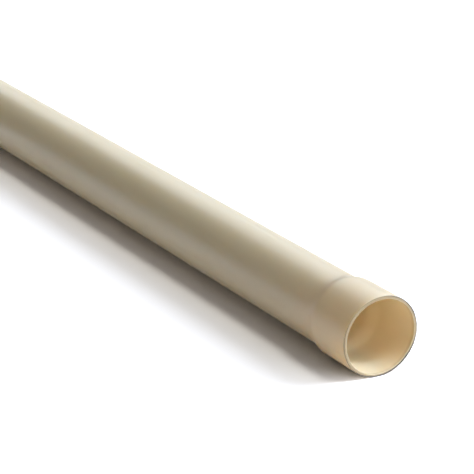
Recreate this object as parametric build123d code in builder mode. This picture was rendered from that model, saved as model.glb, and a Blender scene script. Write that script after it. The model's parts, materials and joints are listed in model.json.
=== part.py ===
"""PVC drain pipe with a socket: one extruded tube, widened at one end to take the next pipe.

The pipe lies on the plane Z = 0. +X runs along it, from the plain spigot end to the socket's mouth,
+Z is up, and the origin is on the floor under the middle of its length. Lengths are millimetres.
"""

import os
from math import radians, sqrt, tan

from build123d import *

# Barrel: the plain tube, a nominal 40 drain pipe
BARREL_OD = 40.0
BARREL_WALL = 1.8
LAYING_LENGTH = 1000.0  # from the spigot's end to where the next spigot stops in the socket

# Socket: the tube's end, heated and pushed over a former
SOCKET_DEPTH = 28.0  # from the mouth to the seat, where the shoulder begins
SOCKET_CLEARANCE = 0.2  # all round, between the socket and a spigot of the barrel's size
SHOULDER_LENGTH = 12.0  # along the pipe, from the socket's seat back to the plain barrel
CREST_LENGTH = 4.5  # of that, the arc next to the seat, which bends over the former's edge

# Ends: the spigot is tapered to enter a socket, and sawn edges are only just blunted
SPIGOT_TAPER_DEPTH = 0.6
SPIGOT_TAPER_ANGLE = 15.0
SAWN_EDGE_RADIUS = 0.2

# Radii that follow. Widening the tube keeps the area of its wall, so the socket's wall is thinner.
barrel_outer = BARREL_OD / 2
barrel_inner = barrel_outer - BARREL_WALL
socket_inner = barrel_outer + SOCKET_CLEARANCE
socket_outer = sqrt(socket_inner**2 + barrel_outer**2 - barrel_inner**2)

# Places along the pipe that follow
overall_length = LAYING_LENGTH + SOCKET_DEPTH
mouth_x = overall_length / 2
spigot_x = mouth_x - overall_length
seat_x = mouth_x - SOCKET_DEPTH
shoulder_x = seat_x - SHOULDER_LENGTH

# The socket is the widest part, so the pipe's axis lies its radius above the floor
pipe_axis = Axis((0, 0, socket_outer), (1, 0, 0))
half_section_plane = Plane(origin=pipe_axis.position, x_dir=pipe_axis.direction, z_dir=(0, -1, 0))


def wall_line(barrel_radius, socket_radius):
    """One side of the wall, from the spigot's end to the mouth.

    The shoulder is a long rising arc and a shorter crest. They meet on the straight slope between
    the shoulder's ends, so the line is level where it joins the barrel and the socket.
    """
    barrel = Line((spigot_x, barrel_radius), (shoulder_x, barrel_radius))
    slope = Line(barrel @ 1, (seat_x, socket_radius), mode=Mode.PRIVATE)
    rise = TangentArc(barrel @ 1, slope @ (1 - CREST_LENGTH / SHOULDER_LENGTH), tangent=barrel % 1)
    crest = TangentArc(rise @ 1, slope @ 1, tangent=rise % 1)
    socket = Line(crest @ 1, (mouth_x, socket_radius))
    return barrel @ 0, socket @ 1


# The pipe: half of its section, turned about its axis
with BuildPart() as drain_pipe:
    with BuildSketch(half_section_plane):
        with BuildLine():
            outer_spigot, outer_mouth = wall_line(barrel_outer, socket_outer)
            inner_spigot, inner_mouth = wall_line(barrel_inner, socket_inner)
            Line(outer_mouth, inner_mouth)
            Line(inner_spigot, outer_spigot)
        make_face()
    revolve(axis=pipe_axis)

    # The spigot's outer edge is cut to a gentle taper, longer along the pipe than into its wall
    spigot_face = drain_pipe.faces().sort_by(Axis.X).first
    chamfer(
        spigot_face.edges().sort_by(SortBy.LENGTH).last,
        length=SPIGOT_TAPER_DEPTH,
        length2=SPIGOT_TAPER_DEPTH / tan(radians(SPIGOT_TAPER_ANGLE)),
        reference=spigot_face,
    )

    # The sawn edges left at both ends are blunted
    spigot_bore_edge = drain_pipe.faces().sort_by(Axis.X).first.edges().sort_by(SortBy.LENGTH).first
    mouth_edges = drain_pipe.faces().sort_by(Axis.X).last.edges()
    fillet([spigot_bore_edge, *mouth_edges], SAWN_EDGE_RADIUS)
drain_pipe.part.label = "drain_pipe"

os.makedirs("parts", exist_ok=True)
export_step(drain_pipe.part, "parts/drain_pipe.step")
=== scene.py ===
"""Looks of the PVC drain pipe: its skin, its sawn ends, and the studio that it is seen in.

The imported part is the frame. Lengths are metres, +X runs along the pipe from the spigot to the
socket's mouth, +Z is up and the pipe lies on the floor, Z = 0.
"""

from __future__ import annotations

import json
import logging
from dataclasses import dataclass
from enum import Enum
from math import atan, cos, radians, sin, sqrt
from typing import Any

import bpy
import numpy as np
from mathutils import Matrix, Vector

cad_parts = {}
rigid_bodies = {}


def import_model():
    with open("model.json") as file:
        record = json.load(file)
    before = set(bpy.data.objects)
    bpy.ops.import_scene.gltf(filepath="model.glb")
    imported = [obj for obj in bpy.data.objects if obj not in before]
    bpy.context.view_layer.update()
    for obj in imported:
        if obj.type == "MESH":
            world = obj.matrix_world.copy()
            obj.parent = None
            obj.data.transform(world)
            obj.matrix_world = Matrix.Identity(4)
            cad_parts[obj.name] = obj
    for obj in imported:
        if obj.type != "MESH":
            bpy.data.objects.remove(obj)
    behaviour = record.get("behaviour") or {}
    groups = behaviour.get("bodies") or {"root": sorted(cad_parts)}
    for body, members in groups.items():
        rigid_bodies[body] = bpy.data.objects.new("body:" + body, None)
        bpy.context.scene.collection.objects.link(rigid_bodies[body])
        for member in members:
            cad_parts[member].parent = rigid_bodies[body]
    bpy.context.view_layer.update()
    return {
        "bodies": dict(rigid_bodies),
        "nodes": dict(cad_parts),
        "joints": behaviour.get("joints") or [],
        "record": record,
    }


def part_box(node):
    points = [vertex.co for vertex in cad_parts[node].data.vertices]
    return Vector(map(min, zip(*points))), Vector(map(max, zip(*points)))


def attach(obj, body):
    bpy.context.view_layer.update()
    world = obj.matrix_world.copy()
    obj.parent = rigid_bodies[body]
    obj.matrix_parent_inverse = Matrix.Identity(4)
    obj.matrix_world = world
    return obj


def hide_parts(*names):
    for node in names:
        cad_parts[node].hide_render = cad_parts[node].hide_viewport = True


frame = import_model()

MM = 0.001
TURN = 2 * np.pi
WHITE = (1.0, 1.0, 1.0, 1.0)
NOISE_MIDDLE = 0.5
Rgb = tuple[float, float, float]
Scale = tuple[float, float, float]

log = logging.getLogger("drain_pipe")


class Surface(Enum):
    """What left a stretch of the wall as it is. The value is how far it looks sawn."""

    DRAWN = 0.0
    TURNED = 0.5
    SAWN = 1.0


class Value:
    """A number on a node's output, on which Python's operators add Math nodes."""

    def __init__(self, tree: ShaderTree, socket: bpy.types.NodeSocket) -> None:
        """Keeps the socket and the tree that it belongs to."""
        self.tree = tree
        self.socket = socket

    def output(self, name: str) -> Value:
        """Another output of the same node."""
        return Value(self.tree, self.socket.node.outputs[name])

    def math(self, operation: str, first: Value | float, second: Value | float = 0.0) -> Value:
        """Adds one Math node.

        Args:
            operation: the Math node's operation.
            first: its first value.
            second: its second value, where the operation has one.

        Returns:
            The node's result.
        """
        return self.tree.node("ShaderNodeMath", {"operation": operation}, {0: first, 1: second})

    def __add__(self, other: Value | float) -> Value:
        """self + other."""
        return self.math("ADD", self, other)

    def __radd__(self, other: float) -> Value:
        """other + self."""
        return self.math("ADD", other, self)

    def __sub__(self, other: Value | float) -> Value:
        """self - other."""
        return self.math("SUBTRACT", self, other)

    def __rsub__(self, other: float) -> Value:
        """other - self."""
        return self.math("SUBTRACT", other, self)

    def __mul__(self, other: Value | float) -> Value:
        """self * other."""
        return self.math("MULTIPLY", self, other)

    def __rmul__(self, other: float) -> Value:
        """other * self."""
        return self.math("MULTIPLY", other, self)

    def at_most(self, other: Value | float) -> Value:
        """The smaller of the two."""
        return self.math("MINIMUM", self, other)

    def at_least(self, other: Value | float) -> Value:
        """The larger of the two."""
        return self.math("MAXIMUM", self, other)


Colour = Value | Rgb


class ShaderTree:
    """The node tree of a material or of the world, emptied and ready for new nodes."""

    def __init__(self, owner: bpy.types.Material | bpy.types.World) -> None:
        """Takes the owner's tree and clears it.

        Args:
            owner: the material or world that the tree belongs to.
        """
        owner.use_nodes = True
        self.tree = owner.node_tree
        self.tree.nodes.clear()

    def node(
        self,
        kind: str,
        settings: dict[str, Any] | None = None,
        sockets: dict[str | int, Any] | None = None,
    ) -> Value:
        """Adds a node.

        Args:
            kind: the node's type.
            settings: the node's own settings, set before its sockets. "stops" are a ramp's
                positions and grey levels.
            sockets: values or links for its inputs, by identifier, name or number.

        Returns:
            The node's first output in use, or the first input of a node that ends the tree.
        """
        new = self.tree.nodes.new(kind)
        for name, setting in (settings or {}).items():
            if name == "stops":
                self.set_stops(new.color_ramp, setting)
            else:
                setattr(new, name, setting)
        for name, source in (sockets or {}).items():
            socket = new.inputs[name] if isinstance(name, int) else self.find(new, name)
            if isinstance(source, Value):
                self.tree.links.new(source.socket, socket)
            else:
                socket.default_value = source
        in_use = [socket for socket in new.outputs if socket.enabled] or list(new.inputs)
        return Value(self, in_use[0])

    def noise(self, vector: Value, scale: float, detail: float = 3.0) -> Value:
        """Noise, 0 to 1 about 0.5, over a vector."""
        return self.node("ShaderNodeTexNoise", sockets={"Vector": vector, "Scale": scale, "Detail": detail})

    def stretched(self, vector: Value, scale: Scale) -> Value:
        """A vector times a scale along each axis, for patterns that are longer one way."""
        return self.node("ShaderNodeMapping", sockets={"Vector": vector, "Scale": scale})

    def attribute(self, name: str) -> Value:
        """A number that the mesh carries."""
        return self.node("ShaderNodeAttribute", {"attribute_name": name}).output("Fac")

    def mixed(self, share: Value, first: Colour, second: Colour) -> Value:
        """Mixes two colours.

        Args:
            share: how much of the second colour, from 0 to 1.
            first: a colour, or a node's colour.
            second: another.

        Returns:
            The mixed colour.
        """
        sides = [side if isinstance(side, Value) else (*side, 1.0) for side in (first, second)]
        sockets = {"Factor_Float": share, "A_Color": sides[0], "B_Color": sides[1]}
        return self.node("ShaderNodeMix", {"data_type": "RGBA"}, sockets)

    def bumped(self, height: Value) -> Value:
        """The normal over a relief whose height is in millimetres."""
        return self.node("ShaderNodeBump", sockets={"Strength": 1.0, "Distance": MM, "Height": height})

    @staticmethod
    def find(node: bpy.types.Node, name: str) -> bpy.types.NodeSocket:
        """The input of a node with this identifier, or else this name."""
        return next(s for s in node.inputs if name in (s.identifier, s.name) and s.enabled)

    @staticmethod
    def set_stops(ramp: bpy.types.ColorRamp, stops: list[tuple[float, float]]) -> None:
        """Gives a colour ramp two grey stops.

        Args:
            ramp: a new ramp, which has two stops.
            stops: each stop's position and grey level, in order.
        """
        for element, (position, grey) in zip(ramp.elements, stops):
            element.position = position
            element.color = (grey, grey, grey, 1.0)


@dataclass(frozen=True)
class CreamPvc:
    """Extruded cream PVC: a satin skin drawn along the pipe, and dull ends where it is sawn, whose tan is
    darkened with painted shade.
    """

    name: str = "drawn_cream_pvc"
    skin_colour: Rgb = (0.800, 0.692, 0.515)
    deep_colour: Rgb = (0.770, 0.653, 0.466)
    # The sawn end's own tan and its saw marks, both darkened with painted shade.
    shaded_sawn_colour: Rgb = (0.390, 0.308, 0.198)
    shaded_score_colour: Rgb = (0.312, 0.243, 0.154)
    # The next dark colour is painted shade along the mouth's outer edge, on the skin and on the sawn end.
    edge_shade_colour: Rgb = (0.060, 0.054, 0.045)
    skin_roughness: float = 0.36
    sawn_roughness: float = 0.62
    # How strongly painted shade darkens the skin near the mouth's outer edge.
    skin_edge_shade: float = 0.6
    uneven_gloss: float = 0.05
    rubbed_dulling: float = 0.10
    refraction: float = 1.53
    light_depth: float = 2.45 * MM
    light_depth_shares: Rgb = (1.20, 1.00, 0.74)
    drift_scale: float = 16.0
    die_line_scale: Scale = (7.4, 620.0, 620.0)
    die_line_share: float = 0.3
    grain_scale: float = 900.0
    rubbed_scale: Scale = (9.0, 160.0, 160.0)
    rubbed_detail: float = 5.0
    rubbed_from: float = 0.56
    rubbed_full: float = 0.72
    saw_mark_scale: Scale = (0.0, 60.0, 1400.0)
    line_detail: float = 4.0
    chip_scale: float = 700.0
    chip_detail: float = 2.0
    die_line_height_mm: float = 0.010
    grain_height_mm: float = 0.006
    saw_mark_height_mm: float = 0.06

    def material(self) -> bpy.types.Material:
        """Makes the material.

        Returns:
            The skin, which the mesh attribute "sawn" turns into the sawn end.
        """
        material = bpy.data.materials.new(self.name)
        tree = ShaderTree(material)
        place = tree.node("ShaderNodeTexCoord").output("Object")
        sides = {0: tree.attribute("sawn"), 1: self.skin(tree, place), 2: self.sawn_end(tree, place)}
        shader = tree.node("ShaderNodeMixShader", sockets=sides)
        tree.node("ShaderNodeOutputMaterial", sockets={"Surface": shader})
        return material

    def skin(self, tree: ShaderTree, place: Value) -> Value:
        """The drawn skin.

        Its colour drifts slowly along the pipe. Die lines run the whole length, as noise that is
        stretched along X, with a fine grain over them. Rubbed streaks are a little duller. Light
        spreads inside the wall, red the furthest, so the bore glows warm. Near the mouth's outer edge
        the skin is darkened with painted shade.

        Args:
            tree: the tree to add to.
            place: Object coordinates.

        Returns:
            The skin's shader.
        """
        drift = tree.noise(place, self.drift_scale)
        die_lines = tree.noise(tree.stretched(place, self.die_line_scale), 1.0, self.line_detail)
        grain = tree.noise(place, self.grain_scale)
        rubbed = self.rubbed_streaks(tree, place)
        depth = (1 - self.die_line_share) * drift + self.die_line_share * die_lines
        return tree.node(
            "ShaderNodeBsdfPrincipled",
            sockets={
                # Painted shade: the skin's colour is darkened near the mouth's outer edge.
                "Base Color": tree.mixed(
                    self.skin_edge_shade * tree.attribute("painted_edge_shade"),
                    tree.mixed(depth, self.skin_colour, self.deep_colour),
                    self.edge_shade_colour,
                ),
                "Roughness": self.skin_roughness
                + self.uneven_gloss * (drift + grain - 2 * NOISE_MIDDLE)
                + self.rubbed_dulling * rubbed,
                "IOR": self.refraction,
                "Subsurface Weight": 1.0,
                "Subsurface Radius": self.light_depth_shares,
                "Subsurface Scale": self.light_depth,
                "Normal": tree.bumped(self.die_line_height_mm * die_lines + self.grain_height_mm * grain),
            },
        )

    def sawn_end(self, tree: ShaderTree, place: Value) -> Value:
        """The sawn end: dull, scored right across by the saw, its tan darkened with painted shade, and
        painted shade in specks along its outer edge.

        Args:
            tree: the tree to add to.
            place: Object coordinates.

        Returns:
            The end's shader. A mesh attribute says how much painted shade darkens its edge.
        """
        saw_marks = tree.noise(tree.stretched(place, self.saw_mark_scale), 1.0, self.line_detail)
        chips = tree.noise(place, self.chip_scale, self.chip_detail)
        # Saw marks over the sawn tan, which is darkened with painted shade.
        shaded_scored = tree.mixed(saw_marks, self.shaded_sawn_colour, self.shaded_score_colour)
        # Painted shade in specks along the outer edge.
        painted_edge_shade = (tree.attribute("painted_edge_shade") * (1 - NOISE_MIDDLE + chips)).at_most(1.0)
        return tree.node(
            "ShaderNodeBsdfPrincipled",
            sockets={
                "Base Color": tree.mixed(painted_edge_shade, shaded_scored, self.edge_shade_colour),
                "Roughness": self.sawn_roughness,
                "IOR": self.refraction,
                "Normal": tree.bumped(self.saw_mark_height_mm * saw_marks),
            },
        )

    def rubbed_streaks(self, tree: ShaderTree, place: Value) -> Value:
        """Sparse streaks, 0 to 1, where the pipe was slid over others.

        Args:
            tree: the tree to add to.
            place: Object coordinates.

        Returns:
            Noise stretched along the pipe, of which only the highest parts are kept.
        """
        noise = tree.noise(tree.stretched(place, self.rubbed_scale), 1.0, self.rubbed_detail)
        stops = [(self.rubbed_from, 0.0), (self.rubbed_full, 1.0)]
        return tree.node("ShaderNodeValToRGB", {"stops": stops}, {"Fac": noise})


@dataclass(frozen=True)
class Wave:
    """A sine wave round the rim: how many there are, how far it is turned on and how high it is."""

    count: int
    phase: float = 0.0
    height: float = 1.0


def along_rim(angle: np.ndarray, waves: tuple[Wave, ...]) -> np.ndarray:
    """The sum of height sin(count t + phase) over the waves, between -1 and 1, at the angles t."""
    total = sum(wave.height * np.sin(wave.count * angle + wave.phase) for wave in waves)
    return total / sum(wave.height for wave in waves)


@dataclass
class DrainPipe:
    """The pipe: a plain barrel, a tapered spigot at its far end and a belled socket at its near end."""

    axis_height: float
    barrel_radius: float
    socket_bore: float
    spigot_x: float
    taper_x: float
    shoulder_x: float
    seat_x: float
    mouth_x: float
    finish: CreamPvc
    barrel_wall: float = 1.8 * MM
    taper_depth: float = 0.6 * MM
    crest_length: float = 4.5 * MM
    sawn_edge: float = 0.2 * MM
    saw_wander: float = 0.05 * MM
    wander_waves: tuple[Wave, ...] = (Wave(3, 0.6), Wave(7, 2.1, 0.5), Wave(19, 0.0, 0.3))
    lean_aside: float = 0.55 * MM
    lean_above: float = 0.50 * MM
    cut_reach: float = 6.0 * MM
    seam: float = 0.04 * MM
    nick_depth: float = 0.10 * MM
    nick_waves: tuple[Wave, ...] = (Wave(13), Wave(23, 1.3), Wave(37, 4.0), Wave(53))
    # Painted shade along the mouth's outer edge: how far in it reaches, how it fades, and how strong it is
    # at these angles round the rim. The nicks follow it too.
    edge_shade_depth: float = 1.50 * MM
    edge_shade_fade: float = 0.40 * MM
    edge_shade_degrees: tuple[float, ...] = (0.0, 40.0, 60.0, 90.0, 130.0, 165.0, 190.0, 225.0, 270.0, 315.0)
    edge_shade_shares: tuple[float, ...] = (0.18, 0.45, 0.60, 0.30, 1.00, 0.75, 0.60, 0.20, 0.28, 0.12)
    segments: int = 288
    taper_rows: int = 6
    barrel_rows: int = 56
    bore_rows: int = 40
    shoulder_rows: int = 14
    socket_rows: int = 12
    mouth_rows: int = 6
    spigot_rows: int = 5
    edge_rows: int = 5
    name: str = "drain_pipe_wall"

    @classmethod
    def from_frame(cls, packed: dict[str, Any], finish: CreamPvc) -> DrainPipe:
        """Reads the pipe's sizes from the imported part.

        Args:
            finish: the PVC that the pipe is made of.

        Returns:
            The pipe, with its places along X and its radii.
        """
        low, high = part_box("drain_pipe")
        mounts = {mount["name"]: mount for mount in packed["record"]["mounts"]}
        socket, spigot = mounts["socket"], mounts["spigot"]
        taper_x = spigot["pos_m"][0]
        return cls(
            axis_height=socket["pos_m"][2],
            barrel_radius=spigot["dims"]["r_mm"] * MM,
            socket_bore=socket["dims"]["r_mm"] * MM,
            spigot_x=float(low[0]),
            taper_x=taper_x,
            shoulder_x=taper_x + spigot["dims"]["length_mm"] * MM,
            seat_x=socket["pos_m"][0],
            mouth_x=float(high[0]),
            finish=finish,
        )

    @property
    def barrel_bore(self) -> float:
        """The barrel's inner radius."""
        return self.barrel_radius - self.barrel_wall

    @property
    def socket_radius(self) -> float:
        """The socket's outer radius: widening the tube keeps the area of its wall."""
        return sqrt(self.socket_bore**2 + self.barrel_radius**2 - self.barrel_bore**2)

    def shoulder(self, low: float, high: float) -> np.ndarray:
        """One side of the shoulder: a long rising arc and a shorter crest, level at both ends.

        Both arcs turn through the angle whose half has the tangent rise / run of the shoulder. A
        point at angle a along one of radius R is R sin a further on and R (1 - cos a) higher.

        Args:
            low: radius at the barrel.
            high: radius at the socket.

        Returns:
            Rows of x and radius, from the barrel to the socket.
        """
        run = self.seat_x - self.shoulder_x
        turn = 2 * atan((high - low) / run)
        angle = np.linspace(0.0, turn, self.shoulder_rows)
        arc = np.column_stack([np.sin(angle), 1 - np.cos(angle)]) / np.sin(turn)
        rise = np.array([self.shoulder_x, low]) + (run - self.crest_length) * arc
        crest = np.array([self.seat_x, high]) - self.crest_length * arc[::-1]
        return np.vstack([rise, crest[1:]])

    @staticmethod
    def run(start: tuple[float, float], end: tuple[float, float], steps: int) -> np.ndarray:
        """A straight stretch from start to end, without its two end points."""
        share = np.linspace(0.0, 1.0, steps + 2)[1:-1, None]
        return np.array(start) * (1 - share) + np.array(end) * share

    def blunted(self, corner: tuple[float, float], first: float) -> np.ndarray:
        """A quarter turn inside a square corner, where the saw left a blunt edge.

        Args:
            corner: x and radius of the corner.
            first: the angle of its first outward direction, from +X towards the outside.

        Returns:
            Rows of x and radius, a quarter turn clockwise from the first.
        """
        angle = first - np.linspace(0.0, TURN / 4, self.edge_rows)
        halfway = first - TURN / 8
        middle = np.array(corner) - self.sawn_edge * sqrt(2) * np.array([np.cos(halfway), np.sin(halfway)])
        return middle + self.sawn_edge * np.column_stack([np.cos(angle), np.sin(angle)])

    def wall_line(self) -> tuple[np.ndarray, np.ndarray]:
        """The wall's closed section, from the spigot along the outside to the mouth and back inside.

        Returns:
            Rows of x and radius, and for each row how far it is sawn, from 0 to 1.
        """
        run, shoulder = self.run, self.shoulder
        edge = self.sawn_edge
        mouth_x, seat_x, spigot_x = self.mouth_x, self.seat_x, self.spigot_x
        spigot_low, spigot_high = self.barrel_bore, self.barrel_radius - self.taper_depth
        mouth_low, mouth_high = self.socket_bore, self.socket_radius
        taper, barrel = (self.taper_x, self.barrel_radius), (self.shoulder_x, self.barrel_radius)
        face = (mouth_x, mouth_high - edge), (mouth_x, mouth_low + edge)
        bore = (self.shoulder_x, spigot_low), (spigot_x + edge, spigot_low)
        stretches = [
            ([(spigot_x, spigot_high)], Surface.SAWN),
            (run((spigot_x, spigot_high), taper, self.taper_rows), Surface.TURNED),
            ([taper], Surface.DRAWN),
            (run(taper, barrel, self.barrel_rows), Surface.DRAWN),
            (shoulder(self.barrel_radius, mouth_high), Surface.DRAWN),
            (run((seat_x, mouth_high), (mouth_x - edge, mouth_high), self.socket_rows), Surface.DRAWN),
            ([(mouth_x - self.edge_shade_depth, mouth_high)], Surface.DRAWN),
            ([(mouth_x - edge - self.seam, mouth_high)], Surface.DRAWN),
            (self.blunted((mouth_x, mouth_high), TURN / 4), Surface.SAWN),
            (run(*face, self.mouth_rows), Surface.SAWN),
            (self.blunted((mouth_x, mouth_low), 0.0), Surface.TURNED),
            (run((mouth_x - edge, mouth_low), (seat_x, mouth_low), self.socket_rows), Surface.DRAWN),
            (shoulder(self.barrel_bore, mouth_low)[::-1], Surface.DRAWN),
            (run(*bore, self.bore_rows), Surface.DRAWN),
            (self.blunted((spigot_x, spigot_low), -TURN / 4), Surface.TURNED),
            (run((spigot_x, spigot_low + edge), (spigot_x, spigot_high), self.spigot_rows), Surface.SAWN),
        ]
        line = np.vstack([np.asarray(points) for points, _ in stretches])
        sawn = np.concatenate([np.full(len(points), surface.value) for points, surface in stretches])
        return line, sawn

    def build(self) -> bpy.types.Object:
        """Turns the wall's section about the axis.

        A row (x, r) at the angle t from straight up is at (x, r sin t, axis + r cos t). The saw wandered
        by a few waves round the rim and nicked its outer edge, and it cut the mouth a little out of
        square: forward by lean_aside sin t + lean_above cos t. The rows within cut_reach follow the cut.

        Returns:
            The pipe as one closed mesh.
        """
        line, sawn = self.wall_line()
        angle = np.arange(self.segments) * TURN / self.segments
        x, radius = line[:, :1], line[:, 1:]
        at_mouth = x > 0
        outer_edge = np.where(at_mouth, self.socket_radius, self.barrel_radius - self.taper_depth)
        from_cut = np.where(at_mouth, self.mouth_x - x, x - self.spigot_x)
        from_arris = np.maximum(outer_edge - radius, from_cut)
        # Share of painted shade at each point near the cut's outer edge, stronger at some angles round the
        # rim than at others.
        painted_edge_shade = np.clip((self.edge_shade_reach(angle) - from_arris) / self.edge_shade_fade, 0.0, 1.0)
        near_cut = np.clip(1 - from_cut / self.cut_reach, 0.0, 1.0)

        lean = self.lean_aside * np.sin(angle) + self.lean_above * np.cos(angle)
        wander = self.saw_wander * (along_rim(angle, self.wander_waves) - 1)
        forward = near_cut * (wander + at_mouth * lean)
        nick = self.nick_depth * painted_edge_shade * (1 - along_rim(angle, self.nick_waves)) / 2
        points = np.stack(
            np.broadcast_arrays(
                x + np.sign(x) * (forward - nick),
                (radius - nick) * np.sin(angle),
                self.axis_height + (radius - nick) * np.cos(angle),
            ),
            axis=-1,
        )

        rows, columns = len(line), self.segments
        number = np.arange(rows * columns).reshape(rows, columns)
        onward, around = np.roll(number, -1, axis=0), np.roll(number, -1, axis=1)
        faces = np.stack([number, onward, np.roll(onward, -1, axis=1), around], axis=-1).reshape(-1, 4)

        mesh = bpy.data.meshes.new(self.name)
        mesh.from_pydata(points.reshape(-1, 3), [], faces.tolist())
        mesh.polygons.foreach_set("use_smooth", np.ones(len(faces), dtype=bool))
        # The mesh carries how far each point is sawn and how much painted shade darkens it.
        for name, shares in (("sawn", np.repeat(sawn, columns)), ("painted_edge_shade", painted_edge_shade.ravel())):
            mesh.attributes.new(name, "FLOAT", "POINT").data.foreach_set("value", shares)
        mesh.update()
        piece = bpy.data.objects.new(self.name, mesh)
        bpy.context.scene.collection.objects.link(piece)
        return piece

    def edge_shade_reach(self, angle: np.ndarray) -> np.ndarray:
        """How far the painted shade reaches in from the outer edge: straight lines between its places round
        the rim.
        """
        places = np.radians(self.edge_shade_degrees)
        return self.edge_shade_depth * np.interp(angle, places, self.edge_shade_shares, period=TURN)

    def dress(self, piece: bpy.types.Object) -> None:
        """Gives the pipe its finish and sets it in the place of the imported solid.

        Args:
            piece: the mesh that build() made.
        """
        piece.data.materials.append(self.finish.material())
        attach(piece, "root")
        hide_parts("drain_pipe")


def towards(around: float, above: float) -> Vector:
    """The direction of a lamp that is so many degrees round from +X and so many above the floor."""
    turn, tilt = radians(around), radians(above)
    return Vector((cos(tilt) * cos(turn), cos(tilt) * sin(turn), sin(tilt)))


@dataclass(frozen=True)
class SoftLamp:
    """A soft light so far off that it is the same all along the pipe."""

    name: str
    around: float
    above: float
    level: float
    tint: Rgb
    width: float = 40.0

    def hang(self) -> bpy.types.Object:
        """Hangs the lamp.

        Returns:
            The lamp. Its level is what a white surface that faces it gives back.
        """
        lamp = bpy.data.lights.new(self.name, "SUN")
        lamp.angle = radians(self.width)
        lamp.energy = self.level * np.pi
        lamp.color = self.tint
        placed = bpy.data.objects.new(self.name, lamp)
        placed.rotation_euler = towards(self.around, self.above).to_track_quat("Z", "Y").to_euler()
        bpy.context.scene.collection.objects.link(placed)
        return placed


@dataclass(frozen=True)
class MouthLamp:
    """A small lamp in a snoot, which shines into the mouth on the floor of the bore."""

    name: str = "mouth_lamp"
    around: float = 42.0
    above: float = 57.0
    distance: float = 0.6
    level: float = 0.42
    beam: float = 21.5 * MM
    soft_edge: float = 0.7
    size: float = 12.0 * MM
    inside: float = 4.0 * MM
    aside: float = -3.0 * MM
    tint: Rgb = (0.88, 1.00, 1.24)

    def hang(self, pipe: DrainPipe) -> bpy.types.Object:
        """Hangs the lamp.

        Args:
            pipe: the pipe that it shines into.

        Returns:
            The lamp. Its level is what a white surface that faces it gives back in the middle of the beam.
        """
        lamp = bpy.data.lights.new(self.name, "SPOT")
        lamp.energy = self.level * (TURN * self.distance) ** 2
        lamp.spot_size = 2 * atan(self.beam / self.distance)
        lamp.spot_blend = self.soft_edge
        lamp.shadow_soft_size = self.size
        lamp.color = self.tint
        placed = bpy.data.objects.new(self.name, lamp)
        away = towards(self.around, self.above)
        lit = Vector((pipe.mouth_x - self.inside, self.aside, pipe.axis_height - pipe.socket_bore))
        placed.location = lit + self.distance * away
        placed.rotation_euler = away.to_track_quat("Z", "Y").to_euler()
        bpy.context.scene.collection.objects.link(placed)
        return placed


@dataclass
class Studio:
    """A white floor that runs out of sight, soft lamps and a dim room."""

    lamps: tuple[SoftLamp, ...] = (
        SoftLamp("side_lamp", around=60.0, above=40.0, level=0.455, tint=(0.95, 1.01, 1.06), width=26.0),
        SoftLamp("near_side_lamp", around=26.0, above=14.0, level=0.5, tint=(0.97, 1.01, 1.03)),
        SoftLamp("front_lamp", around=0.0, above=24.0, level=0.255, tint=(1.03, 1.00, 0.96)),
        SoftLamp("upper_lamp", around=20.0, above=60.0, level=0.25, tint=(1.07, 1.02, 0.84), width=14.0),
        SoftLamp("back_lamp", around=148.0, above=34.0, level=0.275, tint=(0.92, 1.00, 1.10), width=44.0),
        SoftLamp("low_back_lamp", around=130.0, above=14.0, level=0.055, tint=(0.75, 0.98, 1.28)),
    )
    mouth_lamp: MouthLamp = MouthLamp()
    room_level: float = 0.02
    floor_side: float = 60.0
    floor_white: Rgb = (1.36, 1.36, 1.46)
    floor_colour: Rgb = (0.87, 0.83, 0.77)

    def build(self, pipe: DrainPipe) -> bpy.types.Object:
        """Lays the floor, hangs the lamps and paints the room.

        Args:
            pipe: the pipe, whose mouth has a lamp of its own.

        Returns:
            The floor.
        """
        for lamp in self.lamps:
            lamp.hang()
        self.mouth_lamp.hang(pipe)
        self.paint_room()
        return self.lay_floor()

    @staticmethod
    def seen(tree: ShaderTree) -> Value:
        """Tells who looks at a surface.

        Args:
            tree: the tree to add to.

        Returns:
            1 where the camera or a reflection looks, 0 where another surface gathers light.
        """
        path = tree.node("ShaderNodeLightPath")
        shown = path.output("Is Camera Ray").at_least(path.output("Is Glossy Ray"))
        return shown.at_least(path.output("Is Transmission Ray"))

    def paint_room(self) -> None:
        """Paints the room dim, so that the lamps alone shape the pipe, but white for the camera."""
        world = bpy.data.worlds.new("room")
        bpy.context.scene.world = world
        tree = ShaderTree(world)
        level = tree.node("ShaderNodeLightPath").output("Is Camera Ray").at_least(self.room_level)
        room = tree.node("ShaderNodeBackground", sockets={"Color": WHITE, "Strength": level})
        tree.node("ShaderNodeOutputWorld", sockets={"Surface": room})

    def lay_floor(self) -> bpy.types.Object:
        """Lays the floor, whose white is full well before a shadow's edge, as on a bright print.

        Returns:
            The floor.
        """
        half = self.floor_side / 2
        mesh = bpy.data.meshes.new("floor")
        corners = [(-half, -half, 0.0), (half, -half, 0.0), (half, half, 0.0), (-half, half, 0.0)]
        mesh.from_pydata(corners, [], [(0, 1, 2, 3)])
        floor = bpy.data.objects.new("floor", mesh)
        bpy.context.scene.collection.objects.link(floor)

        material = bpy.data.materials.new("white_floor")
        tree = ShaderTree(material)
        shown = tree.node("ShaderNodeBsdfDiffuse", sockets={"Color": (*self.floor_white, 1.0)})
        giving = tree.node("ShaderNodeBsdfDiffuse", sockets={"Color": (*self.floor_colour, 1.0)})
        mixed = tree.node("ShaderNodeMixShader", sockets={0: self.seen(tree), 1: giving, 2: shown})
        tree.node("ShaderNodeOutputMaterial", sockets={"Surface": mixed})
        mesh.materials.append(material)
        return floor


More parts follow.
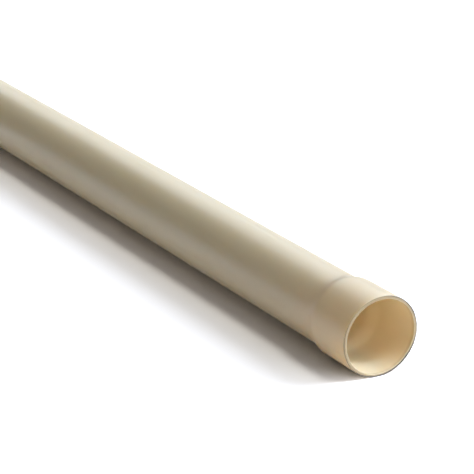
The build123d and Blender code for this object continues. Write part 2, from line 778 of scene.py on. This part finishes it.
@dataclass(frozen=True)
class PhotoCamera:
    """The camera, set by where the socket's mouth is in the picture and how large."""

    image_side: float = 474.0
    focal: float = 1958.7
    turn: float = 59.03
    tilt: float = 20.27
    mouth_right: float = 0.07186
    mouth_down: float = 0.04984
    mouth_ahead: float = 0.97757
    sensor: float = 36.0
    nearest: float = 0.01
    furthest: float = 100.0

    def place(self, pipe: DrainPipe) -> bpy.types.Object:
        """Places the camera and makes it the scene's own.

        Args:
            pipe: the pipe, whose mouth's middle is the point that the distances start from.

        Returns:
            The camera.
        """
        turn, tilt = radians(self.turn), radians(self.tilt)
        right = Vector((cos(turn), sin(turn), 0.0))
        ahead = Vector((-sin(turn), cos(turn), 0.0))
        straight_up = Vector((0.0, 0.0, 1.0))
        forward = cos(tilt) * ahead - sin(tilt) * straight_up
        upward = cos(tilt) * straight_up + sin(tilt) * ahead
        mouth = Vector((pipe.mouth_x, 0.0, pipe.axis_height))
        stand = mouth - self.mouth_right * right + self.mouth_down * upward - self.mouth_ahead * forward

        lens = bpy.data.cameras.new("photo_camera")
        lens.sensor_width = self.sensor
        lens.lens = self.focal * self.sensor / self.image_side
        lens.clip_start, lens.clip_end = self.nearest, self.furthest
        camera = bpy.data.objects.new("photo_camera", lens)
        turned = Matrix((right, upward, -forward)).transposed().to_4x4()
        camera.matrix_world = Matrix.Translation(stand) @ turned
        bpy.context.scene.collection.objects.link(camera)
        bpy.context.scene.camera = camera
        return camera


def main() -> None:
    """Builds the pipe, the studio and the camera, in that order."""
    logging.basicConfig(level=logging.INFO, format="%(name)s: %(message)s")
    bpy.context.scene.view_settings.view_transform = "Standard"

    pipe = DrainPipe.from_frame(frame, CreamPvc())
    wall = pipe.build()
    pipe.dress(wall)
    log.info("%s: %d faces", wall.name, len(wall.data.polygons))

    floor = Studio().build(pipe)
    log.info("%s: stage", floor.name)

    camera = PhotoCamera().place(pipe)
    log.info("%s: lens %.1f mm", camera.name, camera.data.lens)


if __name__ == "__main__":
    main()
